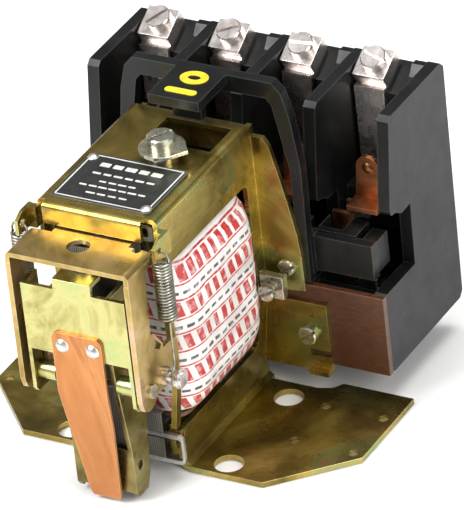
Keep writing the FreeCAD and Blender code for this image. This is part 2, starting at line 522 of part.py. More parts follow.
# side view of one arm: narrow above, wider below where the spring pin sits
arm_side = [(-88.8, 90.0), (-88.8, 46.0), (-87.6, 42.4), (-85.0, 41.0), (-82.0, 41.4), (-79.0, 44.0), (-66.6, 44.0),
            (-64.2, 46.4), (-63.6, 56.4), (-66.6, 57.8), (-72.6, 57.8), (-72.6, 59.6), (-77.4, 66.0), (-79.2, 66.6),
            (-78.0, 90.0)]
arm_hole = [(-78.2, 60.8), (-74.8, 58.4), (-73.6, 60.0), (-77.0, 63.6)]
arms = []
for i, x in enumerate((AO - AT, -AO)):
    arms.append(prism("arm_%d" % i, "YZ", arm_side, AT, x,
                      [(P["RodY"], P["RodZ"], 1.5), (P["PinY"], P["PinZ"], 1.55)], windows=[arm_hole]))
cap_cut = box("bracket_lower_off", (60, 30, 52.0), (-30, -95, 37.9))
crown = cut("bracket_crown", bracket, [cap_cut, rod("bracket_hole", 3.9, 6.0, (-1.5, -77.6, 90.0)),
                                       rod("bracket_notch", 1.5, 6.0, (17.6, -73.6, 90.0))])
tail = box("bracket_tail", (28.0, 7.2, AT), (-14.0, -73.0, 92.2))
node("armature_bracket", [fuse("armature_bracket_body", [crown, tail] + arms)])

PY = -87.2
plate = prism("plate_front", "XZ", [(-19.2, 57.6), (19.2, 57.6), (19.2, 82.4), (7.0, 82.4), (7.0, 86.4), (-7.0, 86.4),
                                    (-7.0, 82.4), (-19.2, 82.4)], 1.6, -PY - 1.6, [(-5.6, 61.8, 1.25), (5.6, 61.8, 1.25)])
tongue = box("plate_tongue", (14.0, 7.0, 1.6), (-7.0, PY, 84.8))
cheek_side = [(PY, 42.4), (PY + 1.4, 40.6), (PY + 8.0, 40.6), (PY + 9.0, 42.4), (PY + 9.0, 82.4), (PY, 82.4)]
cheeks = [prism("plate_cheek_%d" % i, "YZ", cheek_side, 1.4, x, [(P["RodY"], P["RodZ"], 1.5)])
          for i, x in enumerate((17.8, -19.2))]
node("armature_plate", [fuse("armature_plate_body", [plate, tongue] + cheeks)])

# the bar is drawn where it meets the pole faces, then swung back to the open position
bar_pts = [(PF - 0.1, 9.0), (PF - 9.1, 9.0), (PF - 9.1, 90.2), (PF - 0.1, 90.2)]
bar_rivets_at = [(PF - 4.6, 16.0), (PF - 4.6, 50.0), (PF - 4.6, 84.0)]
swing_back = FreeCAD.Rotation(V(1, 0, 0), -P["Swing"])
pivot = V(0, HY, HZ)


def swung(obj, x=0.0):
    """Turn an object that was drawn closed about the hinge line to the open position."""
    place = FreeCAD.Placement(pivot - swing_back.multVec(pivot), swing_back)
    obj.Placement = place.multiply(obj.Placement)
    return obj


bar = prism("bar_body", "YZ", bar_pts, 18.6, -9.3, [(y, z, 1.6) for y, z in bar_rivets_at])
node("armature_bar", [swung(bar)])
node("armature_bar_rivets", [swung(rod("bar_rivet_%d" % i, 1.55, 18.6, (-9.3, y, z), "x"))
                             for i, (y, z) in enumerate(bar_rivets_at)])

# channel that hangs below the plate and holds the bar
drop_side = [(-85.5, 80.0), (-85.5, 54.0), (-85.0, 48.0), (-80.9, 20.4), (-80.9, 3.8), (-79.6, 1.9), (-73.6, 1.9),
             (-71.3, 7.0), (-70.9, 12.0), (-67.4, 52.0), (-66.4, 64.0), (-70.0, 80.0)]
drops = [prism("drop_side_%d" % i, "YZ", drop_side, 1.6, x,
               [(P["RodY"], P["RodZ"], 1.5), (-77.4, 42.6, 2.2), (-76.6, 12.6, 1.6)])
         for i, x in enumerate((9.6, -11.2))]
web = box("drop_web", (22.4, 1.0, 16.6), (-11.2, -80.9, 3.8))
brace = box("drop_brace", (22.4, 1.5, 14.0), (-11.2, -85.5, 64.6))
node("drop_channel", [fuse("drop_channel_body", [web, brace] + drops)])

rod_y, rod_z = P["RodY"], P["RodZ"]
node("cross_rod", [fuse("cross_rod_body", [rod("cross_shaft", 1.45, 2 * AO + 0.8, (-AO - 0.4, rod_y, rod_z), "x"),
                                           rod("cross_head_r", 2.4, 0.9, (AO + 0.02, rod_y, rod_z), "x"),
                                           rod("cross_head_l", 2.4, 0.9, (-AO - 0.92, rod_y, rod_z), "x")])])
collars = []
for i, x in enumerate((11.3, -17.7)):
    collars.append(cut("collar_%d" % i, rod("collar_out_%d" % i, "@RodRad + 1.0", 6.4, (x, rod_y, rod_z), "x"),
                       [rod("collar_in_%d" % i, 1.5, 8.0, (x - 1, rod_y, rod_z), "x")]))
node("rod_collars", collars)

leaf_upper = [(-9.2, 44.0), (9.2, 44.0)] + [(x, z) for x, z in arc_points(6.6, 64.0, 2.6, 0, 90, 5)] + \
             [(x, z) for x, z in arc_points(-6.6, 64.0, 2.6, 90, 180, 5)]
leaf_top = prism("leaf_top", "XZ", leaf_upper, 1.0, -PY, [(-5.6, 61.8, 1.25), (5.6, 61.8, 1.25)])
lean = math.degrees(math.atan2(5.4, 42.4))
low_len = math.hypot(5.4, 42.4)
leaf_low_pts = [(-9.2, 0.0), (-8.6, -7.0), (-5.0, -low_len + 1.6), (-4.2, -low_len), (5.4, -low_len), (6.2, -low_len + 1.6),
                (8.8, -12.0), (9.2, 0.0)]
leaf_low = prism("leaf_low", "XZ", leaf_low_pts, 1.0, 0.0)
leaf_low.Placement = FreeCAD.Placement(V(0, PY, 44.0), FreeCAD.Rotation(V(1, 0, 0), lean))
turn = math.radians(lean)
leaf_bend = prism("leaf_bend", "YZ", [(PY, 44.0), (PY, 44.4), (PY - 1.0, 44.4), (PY - 1.0, 44.0),
                                      (PY - math.cos(turn), 44.0 - math.sin(turn)), (PY + 0.05, 43.6)], 18.4, -9.2)
node("leaf_strip", [fuse("leaf_strip_body", [leaf_top, leaf_low, leaf_bend])])
node("leaf_rivets", [domed("leaf_rivet_%d" % i, 2.5, 1.3, 1.2, 3.4, (x, PY - 1.0, 61.8), "-y")
                     for i, x in enumerate((-5.6, 5.6))])

# ---------------------------------------------------------------- spring pins and return springs
pins = []
for i, s in enumerate((1, -1)):
    start = AO if s > 0 else -AO
    parts = []
    for k, (rad, a, b) in enumerate(((1.5, -2.6, 0.4), (3.2, 0.0, 1.9), (1.6, 1.9, 4.6), (3.4, 4.6, 6.2), (2.6, 6.2, 6.9))):
        lo = start + a if s > 0 else start - b
        parts.append(rod("pin_%d_%d" % (i, k), rad, b - a, (lo, P["PinY"], P["PinZ"]), "x"))
    pins.append(fuse("spring_pin_%d" % i, parts))
node("spring_pins", pins)


def wound(rad, wire, pitch, turns):
    """Coils of a spring about the Z axis from z = 0: round ridges, one a turn, on a thin sleeve."""
    ridge = pitch / 2.0
    edges = []
    for k in range(turns):
        low, mid, high = [V(rad + bulge, 0, k * pitch + z) for bulge, z in ((0, 0), (wire, ridge), (0, pitch))]
        edges.append(Part.Arc(low, mid, high).toShape())
    inner = rad - wire * 0.6
    corners = [V(rad, 0, turns * pitch), V(inner, 0, turns * pitch), V(inner, 0, 0), V(rad, 0, 0)]
    edges += [Part.makeLine(p, q) for p, q in zip(corners, corners[1:])]
    return Part.Face(Part.Wire(edges)).revolve(V(0, 0, 0), V(0, 0, 1), 360)


def spring(name, side):
    """Close wound tension spring with a loop through the frame ear and a hook round the pin."""
    rad, wire = P["CoilRad"], P["WireRad"]
    turns, pitch, low = 19, 1.12, 70.0
    x, y = P["SpringX"], -73.0
    coil = wound(rad, wire, pitch, turns)
    coil.translate(V(x, y, low))
    loop = Part.makeTorus(rad, wire, V(x, y, low + pitch * turns + rad - 1.6), V(0, 1, 0))
    leg_x, slim = x + 0.4, wire * 0.9
    foot = P["PinZ"] + 2.1
    straight = Part.makeCylinder(slim, low - foot + 0.6, V(leg_x, P["PinY"], foot))
    link = Part.makeCylinder(slim * 0.9, rad - 0.2, V(leg_x - 0.2, P["PinY"], low + 0.2), V(1, 0, 0))
    turn_over = Part.makeTorus(2.35, wire, V(leg_x, P["PinY"], P["PinZ"]), V(1, 0, 0))
    hook = turn_over.cut(Part.makeBox(4, 6, 3.2, V(leg_x - 2, P["PinY"] - 7.0, P["PinZ"] + 0.2)))
    made = coil
    for piece in (loop, straight, link, hook):
        made = made.fuse(piece)
    return shaped(name, made if side > 0 else made.mirror(V(0, 0, 0), V(1, 0, 0)))


node("return_springs", [spring("return_spring_r", 1), spring("return_spring_l", -1)])

# ---------------------------------------------------------------- contact carrier with the indicator
KX = P["CarX"]
top_z = P["CarTop"]
arch_out = [(36.2 - 3.2, 42.0), (36.4 - 3.2, 60.0), (36.8 - 3.2, 86.0), (34.6 - 3.2, 104.0), (32.2 - 3.2, 113.0),
            (29.0 - 3.2, top_z)]
arch_in = [(26.4 - 3.2, 110.4), (28.4 - 3.2, 108.0), (30.6 - 3.2, 96.0), (32.8 - 3.2, 84.0), (32.6 - 3.2, 60.0),
           (32.4 - 3.2, 42.0)]
arch = ([(KX + x, z) for x, z in arch_out] + [(KX - x, z) for x, z in reversed(arch_out)]
        + [(KX - x, z) for x, z in reversed(arch_in)] + [(KX + x, z) for x, z in arch_in])
ARCH_BACK = 3.45
arch_body = prism("arch_body", "XZ", arch, 3.8, -ARCH_BACK)
indicator = prism("indicator_plate", "XY", [(KX - 9.3, -19.2), (KX + 9.3, -19.2), (KX + 9.3, 2.6), (KX - 9.3, 2.6)],
                  3.4, top_z - 3.4)
skirt = prism("indicator_skirt", "XY", [(KX - 4.6, -12.6), (KX + 6.0, -12.6), (KX + 6.0, -9.6), (KX - 4.6, -9.6)],
              8.2, 105.4)
rib = box("indicator_rib", (3.0, 12.0, 6.0), (KX - 1.5, -10.0, 107.6))
reach = [box("carrier_reach_%d" % i, (4.0, 6.0, 14.0), (KX + s * 31.2 - 2.0, 2.0, 44.0)) for i, s in enumerate((1, -1))]
beam = box("carrier_beam", (4 * PITCH - WB - 1.4, 3.6, 13.0), (BAYS[0] + 0.7, 4.0, 44.6))
cages, bridges, bridge_tips, bridge_springs = [], [], [], []
for i, x in enumerate(BAYS):
    bx = x + 0.8 + 4.0
    shell = box("cage_%d" % i, (14.6, 9.6, 15.0), (bx - 4.6, 6.6, 43.6))
    slot = box("cage_slot_%d" % i, (8.4, 8.0, 30.0), (bx - 4.2, 9.0, 38.0))
    seat_hole = rod("cage_seat_%d" % i, 2.9, 4.0, (bx, 7.6, 51.0), "y")
    window_r = box("cage_window_%d" % i, (3.4, 4.0, 8.0), (bx + 5.2, 5.8, 46.0))
    cages.append(cut("cage_cut_%d" % i, shell, [slot, seat_hole, window_r]))
    block = box("cage_lug_%d" % i, (5.4, 9.0, 11.6), (x + BAY - 6.4, 6.8, 45.4))
    cages.append(block)
    bar_c = box("bridge_bar_%d" % i, (7.4, 1.6, 25.6), (bx - 3.7, 16.6, 34.4))
    bridges.append(bar_c)
    for k, z in enumerate((37.8, 55.4)):
        bridge_tips.append(rod("bridge_tip_%d_%d" % (i, k), 2.4, 1.15, (bx, 18.2, z), "y"))
    bridge_springs.append(shaped("bridge_spring_%d" % i, wound(2.0, 0.45, 1.66, 5),
                                 FreeCAD.Placement(V(bx, 8.05, 51.0), FreeCAD.Rotation(V(1, 0, 0), -90))))
node("contact_carrier", [fuse("contact_carrier_body", [arch_body, indicator, skirt, rib, beam] + reach + cages)])
node("bridge_contacts", bridges)
node("bridge_contact_tips", bridge_tips)
node("bridge_springs", bridge_springs)
bar_mark = prism("mark_bar", "XY", rounded(KX - 5.4, -15.9, KX + 6.2, -13.0, 1.4, 4), 0.35, top_z)
ring_out = [(KX + 0.6 + 5.0 * math.cos(a), -5.6 + 4.0 * math.sin(a))
            for a in [math.radians(15 * k) for k in range(24)]]
ring_in = [(KX + 0.6 + 2.3 * math.cos(a), -5.6 + 1.4 * math.sin(a))
           for a in [math.radians(15 * k) for k in range(24)]]
ring_mark = prism("mark_ring", "XY", ring_out, 0.35, top_z, windows=[ring_in])
node("indicator_marks", [bar_mark, ring_mark])

# ---------------------------------------------------------------- origin, checks and export
to_origin = FreeCAD.Placement(V(0, (P["HoleFront"] + P["HoleRear"]) / 2.0, 0), FreeCAD.Rotation())
for obj in NODES:
    obj.Placement = to_origin.multiply(obj.Placement)
doc.recompute()
problems = []
for obj in doc.Objects:
    if "Invalid" in obj.State or "Error" in obj.State:
        problems.append("%s: %s" % (obj.Name, obj.State))
for obj in NODES:
    shape = obj.Shape
    if shape.isNull() or not shape.isValid():
        problems.append("%s: shape is not valid" % obj.Label)
    elif not shape.Solids:
        problems.append("%s: no solid" % obj.Label)
if problems:
    raise RuntimeError("; ".join(problems))
os.makedirs("parts", exist_ok=True)
for obj in NODES:
    obj.Shape.exportStep("parts/%s.step" % obj.Label)
    print("%-26s %2d solids  volume %9.1f" % (obj.Label, len(obj.Shape.Solids), obj.Shape.Volume))
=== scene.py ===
import json
import math
import random

import bmesh
import bpy
from mathutils import Matrix, Vector, noise


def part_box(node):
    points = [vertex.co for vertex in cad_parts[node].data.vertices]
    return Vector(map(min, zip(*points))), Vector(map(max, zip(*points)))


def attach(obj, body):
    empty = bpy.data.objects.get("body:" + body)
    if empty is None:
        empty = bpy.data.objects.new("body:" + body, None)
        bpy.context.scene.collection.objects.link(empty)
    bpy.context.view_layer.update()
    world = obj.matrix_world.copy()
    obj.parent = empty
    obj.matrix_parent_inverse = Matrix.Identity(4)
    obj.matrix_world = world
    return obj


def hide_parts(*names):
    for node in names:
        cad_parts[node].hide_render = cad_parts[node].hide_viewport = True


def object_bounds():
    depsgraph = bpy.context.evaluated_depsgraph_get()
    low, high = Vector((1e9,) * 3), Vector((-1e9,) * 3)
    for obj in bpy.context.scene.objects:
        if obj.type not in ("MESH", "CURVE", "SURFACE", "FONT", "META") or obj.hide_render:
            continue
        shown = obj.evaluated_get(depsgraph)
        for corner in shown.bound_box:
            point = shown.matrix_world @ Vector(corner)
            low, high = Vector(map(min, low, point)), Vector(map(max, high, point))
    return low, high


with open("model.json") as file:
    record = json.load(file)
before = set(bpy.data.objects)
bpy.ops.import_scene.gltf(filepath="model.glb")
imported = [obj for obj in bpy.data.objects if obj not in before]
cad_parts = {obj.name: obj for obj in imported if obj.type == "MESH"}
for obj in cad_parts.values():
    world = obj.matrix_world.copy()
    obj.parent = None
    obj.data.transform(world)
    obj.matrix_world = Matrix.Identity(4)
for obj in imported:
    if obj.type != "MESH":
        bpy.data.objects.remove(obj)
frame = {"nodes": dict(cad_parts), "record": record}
cad_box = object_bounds()
MM = 0.001
random.seed(7)

# ------------------------------------------------------------------ colours and node trees
MIX_INPUTS, MIX_RESULT = (0, 6, 7), 2  # the colour sockets of a Mix node, by index


def tone(code):
    """A display colour such as "c8a85a" as the linear RGBA that shaders use."""
    parts = [int(code[i:i + 2], 16) / 255.0 for i in (0, 2, 4)]
    linear = [p / 12.92 if p <= 0.04045 else ((p + 0.055) / 1.055) ** 2.4 for p in parts]
    return (*linear, 1.0)


class Finish:
    """A material under construction: its tree, its shader and its object coordinates."""

    def __init__(self, name, metallic=0.0, **sockets):
        self.mat = bpy.data.materials.new(name)
        self.mat.use_nodes = True
        self.tree = self.mat.node_tree
        self.shader = self.tree.nodes["Principled BSDF"]
        self.shader.inputs["Metallic"].default_value = metallic
        for socket, value in sockets.items():
            self.shader.inputs[socket.replace("_", " ")].default_value = value
        self.place = self.add("ShaderNodeTexCoord").outputs["Object"]

    def add(self, kind, inputs=None, **props):
        """A new node. Each input, by name or by index, is linked to a socket or given a value."""
        made = self.tree.nodes.new(kind)
        for prop, value in props.items():
            setattr(made, prop, value)
        for socket, value in (inputs or {}).items():
            if isinstance(value, bpy.types.NodeSocket):
                self.tree.links.new(value, made.inputs[socket])
            else:
                made.inputs[socket].default_value = value
        return made

    def stretched(self, scale):
        inputs = {"Vector": self.place, "Scale": scale}
        return self.add("ShaderNodeMapping", inputs).outputs["Vector"]

    def noise(self, scale, detail=3.0, rough=0.55, distortion=0.0, vector=None):
        inputs = {"Vector": vector or self.place, "Scale": scale, "Detail": detail,
                  "Roughness": rough, "Distortion": distortion}
        return self.add("ShaderNodeTexNoise", inputs).outputs["Fac"]

    def ramp(self, fac, stops):
        """Colours along fac, from stops of (position, display colour) in rising order."""
        made = self.add("ShaderNodeValToRGB", {"Fac": fac})
        points = made.color_ramp.elements
        while len(points) < len(stops):
            points.new(0.5)
        for point, (at, code) in zip(points, stops):
            point.position = at
            point.color = tone(code)
        return made.outputs["Color"]

    def spread(self, fac, low, high, start=0.3, stop=0.7):
        """Low at start and below, high at stop and above, and even between them."""
        inputs = {"Value": fac, "From Min": start, "From Max": stop, "To Min": low, "To Max": high}
        return self.add("ShaderNodeMapRange", inputs).outputs["Result"]

    def mix(self, fac, a, b):
        inputs = dict(zip(MIX_INPUTS, (fac, a, b)))
        return self.add("ShaderNodeMix", inputs, data_type="RGBA").outputs[MIX_RESULT]

    def math(self, operation, a, b=0.0):
        return self.add("ShaderNodeMath", {0: a, 1: b}, operation=operation).outputs[0]

    def near(self, value, centre, half):
        """1 where value is within half of centre, and 0 elsewhere."""
        away = self.math("ABSOLUTE", self.math("SUBTRACT", value, centre))
        return self.math("LESS_THAN", away, half)

    def edges(self, reach=0.5 * MM):
        """1 along the corners of the shape and 0 on its faces."""
        rounded = self.add("ShaderNodeBevel", {"Radius": reach}, samples=6).outputs["Normal"]
        plain = self.add("ShaderNodeNewGeometry").outputs["Normal"]
        match = self.add("ShaderNodeVectorMath", {0: rounded, 1: plain}, operation="DOT_PRODUCT")
        return self.spread(match.outputs["Value"], 1.0, 0.0, start=0.75, stop=0.985)

    def done(self, colour, rough, height, depth, strength):
        inputs = {"Height": height, "Strength": strength, "Distance": depth}
        bump = self.add("ShaderNodeBump", inputs)
        for source, socket in ((colour, "Base Color"), (rough, "Roughness"),
                               (bump.outputs["Normal"], "Normal")):
            self.tree.links.new(source, self.shader.inputs[socket])
        return self.mat


def plated(name, stops, edge, rough, scale, streak=(1.0, 1.0, 1.0), metallic=0.95):
    """Plated or bare metal: clouded colour, dark specks and lighter corners, the corners a painted
    edge highlight.
    """
    f = Finish(name, metallic)
    clouds = f.noise(scale, detail=4.0, rough=0.6, distortion=1.2, vector=f.stretched(streak))
    colour = f.ramp(f.spread(clouds, 0.0, 1.0, start=0.28, stop=0.72), stops)
    specks = f.spread(f.noise(620.0, detail=2.0), 0.0, 0.22, start=0.58, stop=0.8)
    colour = f.mix(specks, colour, tone(stops[0][1]))
    # painted edge highlight: the corners are mixed towards the near-white corner colour
    colour = f.mix(f.math("MULTIPLY", f.edges(), 0.75), colour, tone(edge))
    gloss = f.spread(f.noise(scale * 3.0, detail=5.0), *rough)
    return f.done(colour, gloss, f.noise(900.0), depth=0.04 * MM, strength=0.25)


def moulded(name, dark, light):
    """Black phenolic moulding: faint flow marks, dust flecks and lighter corners, the corners a
    painted edge highlight.
    """
    f = Finish(name, 0.0, Coat_Weight=0.06, Coat_Roughness=0.12, Specular_IOR_Level=0.26)
    flow = f.noise(38.0, detail=5.0, rough=0.6, distortion=1.6)
    colour = f.ramp(f.spread(flow, 0.0, 1.0), [(0.0, dark), (1.0, light)])
    flecks = f.spread(f.noise(1500.0, detail=2.0), 0.0, 0.5, start=0.66, stop=0.8)
    colour = f.mix(flecks, colour, tone("2c2d2b"))
    # painted edge highlight: the corners are mixed towards grey 5c5e5a
    colour = f.mix(f.math("MULTIPLY", f.edges(0.7 * MM), 0.5), colour, tone("5c5e5a"))
    gloss = f.spread(f.noise(120.0, detail=5.0), 0.25, 0.42)
    return f.done(colour, gloss, f.noise(700.0, detail=4.0), depth=0.05 * MM, strength=0.3)


def laminated(name, along, period, light, dark):
    """A stack of punched steel sheets, seen as fine lines across its faces."""
    f = Finish(name, 0.85)
    axes = f.add("ShaderNodeSeparateXYZ", {"Vector": f.place})
    wobble = f.math("MULTIPLY", f.noise(90.0, detail=2.0), period * 0.35)
    turn = f.math("DIVIDE", f.math("ADD", axes.outputs[along], wobble), period)
    gap = f.spread(f.math("PINGPONG", turn, 0.5), 1.0, 0.0, start=0.05, stop=0.16)
    stains = f.spread(f.noise(60.0, detail=4.0), 0.0, 1.0)
    colour = f.ramp(stains, [(0.0, light), (0.6, dark), (1.0, "6d6459")])
    colour = f.mix(gap, colour, tone("26231f"))
    gloss = f.spread(f.noise(220.0), 0.35, 0.6)
    return f.done(colour, gloss, f.math("SUBTRACT", 1.0, gap), depth=0.1 * MM, strength=0.7)


def board(name):
    """Brown resin-bonded paper board: paper fibres, a polished face and lighter sawn edges."""
    f = Finish(name, 0.0, Coat_Weight=0.25, Coat_Roughness=0.25)
    grain = f.stretched((1.0, 1.0, 5.0))
    fibres = f.noise(260.0, detail=6.0, rough=0.7, distortion=0.4, vector=grain)
    stops = [(0.0, "3a1e13"), (0.5, "4e2b1b"), (1.0, "613a25")]
    colour = f.mix(f.edges(0.6 * MM), f.ramp(f.spread(fibres, 0.0, 1.0), stops), tone("a8794c"))
    gloss = f.spread(f.noise(150.0), 0.28, 0.5)
    return f.done(colour, gloss, fibres, depth=0.06 * MM, strength=0.3)


def rounds(name, light, dark):
    """Drawn wire or wound wire, with fine lines across it."""
    line_period = 0.4 * MM
    f = Finish(name, 0.95)
    axes = f.add("ShaderNodeSeparateXYZ", {"Vector": f.place})
    line = f.math("PINGPONG", f.math("DIVIDE", axes.outputs["Z"], line_period), 0.5)
    clouds = f.spread(f.noise(300.0, detail=4.0), 0.0, 1.0)
    colour = f.ramp(clouds, [(0.0, light), (1.0, dark)])
    gloss = f.spread(f.noise(400.0), 0.2, 0.4)
    return f.done(colour, gloss, line, depth=0.05 * MM, strength=0.3)


def printed_tape(name):
    """White cloth tape with rows of slanted red bars between red lines, and dark dashes.

    The print runs on the UV map "tape": one row of print is 1 high in V.
    """
    bars_at, bars_half, line_off, line_half = 0.38, 0.22, 0.285, 0.026
    dashes_at, dashes_half, dash_rate, dash_fill = 0.84, 0.045, 1.7, 0.66
    bar_rate, slant, row_shift, waviness = 1.5, 0.7, 0.37, 0.16
    f = Finish(name, 0.0, Sheen_Weight=0.15, Coat_Weight=0.2, Coat_Roughness=0.3)
    uv = f.add("ShaderNodeUVMap", uv_map="tape").outputs["UV"]
    bend = f.math("MULTIPLY", f.noise(55.0, detail=2.0), waviness)
    axes = f.add("ShaderNodeSeparateXYZ", {"Vector": uv})
    run, rise = axes.outputs["X"], f.math("ADD", axes.outputs["Y"], bend)
    row, number = f.math("FRACT", rise), f.math("FLOOR", rise)
    along = f.math("ADD", run, f.math("MULTIPLY", number, row_shift))
    across = f.math("SUBTRACT", row, bars_at)
    tall = f.math("ABSOLUTE", across)
    slanted = f.math("ADD", f.math("MULTIPLY", along, bar_rate), f.math("MULTIPLY", across, slant))

    pick = f.add("ShaderNodeCombineXYZ", {"X": f.math("FLOOR", slanted), "Y": number})
    chance = f.add("ShaderNodeTexWhiteNoise", {"Vector": pick.outputs["Vector"]},
                   noise_dimensions="2D").outputs["Value"]
    width = f.spread(chance, 0.42, 0.74, start=0.0, stop=1.0)
    bars = f.math("MULTIPLY", f.math("LESS_THAN", f.math("FRACT", slanted), width),
                  f.math("LESS_THAN", tall, bars_half))
    red = f.math("MAXIMUM", bars, f.near(tall, line_off, line_half))
    dashes = f.math("LESS_THAN", f.math("FRACT", f.math("MULTIPLY", run, dash_rate)), dash_fill)
    ink = f.math("MULTIPLY", f.near(row, dashes_at, dashes_half), dashes)

    rub = f.spread(f.noise(420.0, detail=4.0), 0.55, 1.0, start=0.35, stop=0.5)
    stains = f.spread(f.noise(75.0, detail=4.0), 0.0, 1.0)
    cloth = f.ramp(stains, [(0.0, "cfc9c4"), (0.5, "ebe8e4"), (1.0, "f4f2ef")])
    colour = f.mix(f.math("MULTIPLY", red, rub), cloth, tone("bd2420"))
    colour = f.mix(f.math("MULTIPLY", ink, rub), colour, tone("4a4340"))
    folds = f.math("MULTIPLY", f.noise(160.0, detail=4.0, rough=0.6, distortion=1.5), 1.6)
    weave = f.math("ADD", f.noise(1300.0, detail=2.0), folds)
    gloss = f.spread(f.noise(200.0), 0.3, 0.5)
    return f.done(colour, gloss, weave, depth=0.12 * MM, strength=0.55)


def painted(name, stops, rough=(0.35, 0.55), coat=0.2, scale=90.0, metallic=0.0, edge=None):
    """Ink, enamel or moulded plastic with slight clouding."""
    f = Finish(name, metallic, Coat_Weight=coat, Coat_Roughness=0.2)
    colour = f.ramp(f.spread(f.noise(scale, detail=4.0), 0.0, 1.0), stops)
    if edge:
        colour = f.mix(f.edges(), colour, tone(edge))
    gloss = f.spread(f.noise(scale * 3.0), *rough)
    return f.done(colour, gloss, f.noise(900.0), depth=0.03 * MM, strength=0.3)


# name: colour stops, corner colour (a painted edge highlight), roughness range, cloud scale, then
# any other settings
PLATINGS = {
    "zinc_yellow": (
        [(0.0, "5c4f26"), (0.35, "94803e"), (0.6, "baa55a"), (0.8, "98a264"), (1.0, "b88f6a")],
        "efe2b0", (0.2, 0.38), 24.0),
    "zinc_tan": (
        [(0.0, "94783f"), (0.4, "bfa568"), (0.7, "cdac8c"), (1.0, "b4b47c")],
        "f2e4bc", (0.24, 0.4), 34.0),
    "zinc_green": (
        [(0.0, "8f8648"), (0.4, "c6bf80"), (0.7, "b2bc7c"), (1.0, "d2c08c")],
        "f8f0c4", (0.18, 0.34), 40.0),
    "zinc_olive": (
        [(0.0, "57502c"), (0.5, "8f8350"), (1.0, "a8a070")], "e4dcae", (0.22, 0.4), 44.0),
    "zinc_bright": (
        [(0.0, "8d8c80"), (0.4, "c4c3b4"), (0.75, "d9d2b4"), (1.0, "b9c0b4")],
        "f8f6ea", (0.18, 0.36), 120.0),
    "nickel": (
        [(0.0, "a39c98"), (0.4, "d4ccc8"), (0.75, "e6dcd6"), (1.0, "c8c4c4")],
        "fbf8f6", (0.2, 0.36), 90.0),
    "rivet_aluminium": (
        [(0.0, "a9a9a6"), (0.5, "d6d5d2"), (1.0, "e4e2dc")], "fbfaf8", (0.28, 0.45), 200.0),
    "rivet_steel": (
        [(0.0, "68665f"), (0.5, "98958c"), (1.0, "aca99c")], "d8d6cc", (0.25, 0.45), 160.0),
    "silver_tip": ([(0.0, "b4b0a8"), (1.0, "dcd9d2")], "f6f4f0", (0.25, 0.4), 260.0),
    "copper_dark": (
        [(0.0, "5c3a22"), (0.5, "96603c"), (1.0, "b47c54")], "dca47c", (0.28, 0.46), 90.0),
    "copper_strip": (
        [(0.0, "9c5f33"), (0.45, "bd7c48"), (0.8, "cc8d58"), (1.0, "ac6e40")],
        "f0c094", (0.34, 0.48), 60.0, (1.0, 1.0, 0.25), 0.8),
}
FINISHES = {name: plated(name, *look) for name, look in PLATINGS.items()}
FINISHES.update({
    "spring_steel": rounds("spring_steel", "c9c8bc", "7e7c70"),
    "enamel_copper": rounds("enamel_copper", "b06a34", "6e3a18"),
    "phenolic_black": moulded("phenolic_black", "0a0b0b", "171918"),
    "srbp_brown": board("srbp_brown"),
    "lamination_steel": laminated("lamination_steel", "X", 0.75 * MM, "a9a69c", "8a877c"),
    "bobbin_brown": painted("bobbin_brown", [(0.0, "4a2f1e"), (1.0, "6b4a30")]),
    "mark_yellow": painted(
        "mark_yellow", [(0.0, "c9b01c"), (0.6, "e3cc2c"), (1.0, "d4ba20")],
        rough=(0.4, 0.6), coat=0.1, scale=260.0),
    "nameplate_black": painted(
        "nameplate_black", [(0.0, "1a1c1a"), (1.0, "2c2e2a")],
        rough=(0.3, 0.5), coat=0.3, scale=120.0, metallic=0.2, edge="b8b6aa"),
    "tape_white": printed_tape("tape_white"),
    "plate_print": painted(
        "plate_print", [(0.0, "c4c3bc"), (1.0, "e6e5df")],
        rough=(0.35, 0.5), coat=0.1, scale=300.0, metallic=0.2),
})

# ------------------------------------------------------------------ CAD nodes: finish and corners
SOFT_CORNERS = {  # bevel width in mm: the nodes that have it
    0.35: "contact_block",
    0.3: "contact_carrier armature_bar",
    0.25: "line_terminal_clamps load_terminal_clamps",
    0.2: "side_frame top_channel armature_bracket armature_plate drop_channel leaf_strip "
         "line_conductors load_conductors coil_terminal_nuts",
    0.15: "insulating_plate line_terminal_screws load_terminal_screws core_laminations "
          "core_side_plates pole_clips arc_horns top_screw top_spacer cross_rod",
    0.12: "nameplate tab_screws coil_terminal_bolts spring_pins rod_collars shading_rings",
    0.1: "top_washer coil_terminal_tabs",
    0.08: "indicator_marks",
}
corner_of = {node: width for width, nodes in SOFT_CORNERS.items() for node in nodes.split()}
slot_of = {entry["node"]: entry["material_slot"] for entry in frame["record"]["subparts"]}
CREASE = math.radians(32.0)
WELD_REACH = 0.004 * MM
NORMAL_WEIGHT = 60


def soften(obj, width_mm):
    """Weld the facets, bevel the creases where a width is given, and even out the shading."""
    weld = obj.modifiers.new("weld", "WELD")
    weld.merge_threshold = WELD_REACH
    if width_mm:
        bevel = obj.modifiers.new("corners", "BEVEL")
        bevel.width = width_mm * MM
        bevel.segments = 2
        bevel.limit_method = "ANGLE"
        bevel.angle_limit = CREASE
        bevel.use_clamp_overlap = True
    weights = obj.modifiers.new("normals", "WEIGHTED_NORMAL")
    weights.keep_sharp = True
    weights.weight = NORMAL_WEIGHT


for node_name, cad in frame["nodes"].items():
    cad.data.materials.clear()
    cad.data.materials.append(FINISHES[slot_of[node_name]])
    soften(cad, corner_of.get(node_name, 0.0))


# ------------------------------------------------------------------ pieces built here
def placed(name, mesh, body, slot_name, *replaced, finish=None):
    obj = bpy.data.objects.new(name, mesh)
    bpy.context.scene.collection.objects.link(obj)
    mesh.materials.append(FINISHES[finish or slot_name])
    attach(obj, body)
    if replaced:
        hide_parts(*replaced)
    return obj


def from_bmesh(name, bm):
    mesh = bpy.data.meshes.new(name)
    bm.to_mesh(mesh)
    bm.free()
    return mesh


def arc(start, sweep, steps):
    """Angles in radians along an arc given in degrees."""
    return [math.radians(start + sweep * k / steps) for k in range(steps + 1)]


